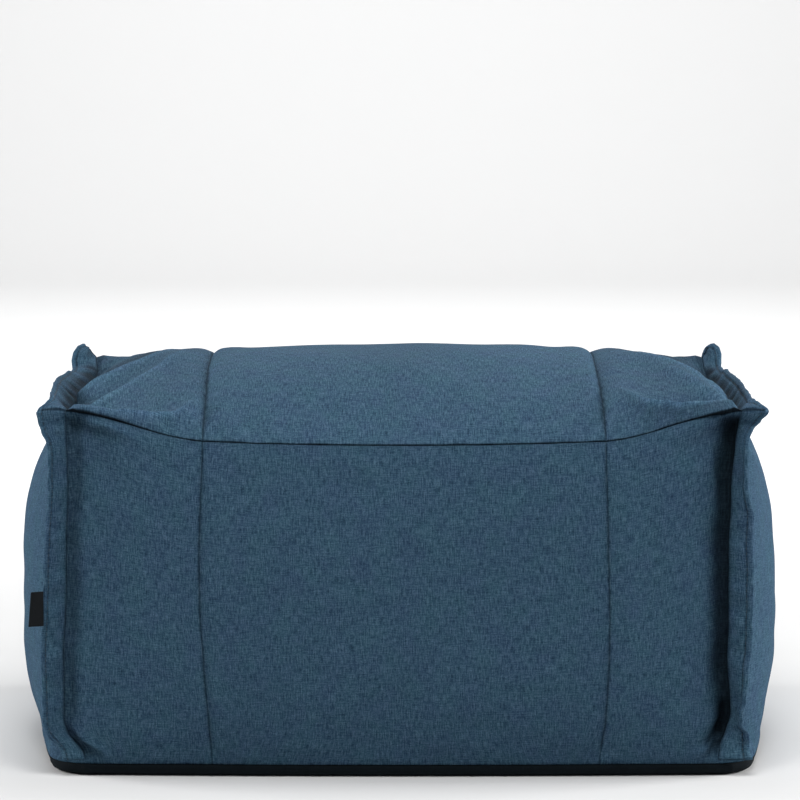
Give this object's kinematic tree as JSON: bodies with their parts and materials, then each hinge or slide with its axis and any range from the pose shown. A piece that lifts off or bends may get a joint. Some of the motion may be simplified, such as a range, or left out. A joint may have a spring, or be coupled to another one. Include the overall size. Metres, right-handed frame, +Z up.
{
  "type": "outdoor footstool",
  "caption": "Low rectangular filled footstool in blue cloth, with bulging ends, flanged end seams with corner ears, a dark base panel and a bare label tab",
  "frame": {"origin": "centre of the underside, on the surface that the footstool stands on", "axes": "+X along the length to the right seen from the front, +Y to the back, +Z up"},
  "size_m": [0.774, 0.556, 0.3945],
  "materials": {
    "cover_cloth": "matt plain weave with a blue melange fleck",
    "base_cloth": "matt black tightly woven base cloth",
    "label_cloth": "fine black woven tape, bare"
  },
  "bodies": {
    "root": {"cover": "cover_cloth", "left_flange": "cover_cloth", "right_flange": "cover_cloth", "base_panel": "base_cloth", "label_tab": "label_cloth"}
  },
  "joints": []
}
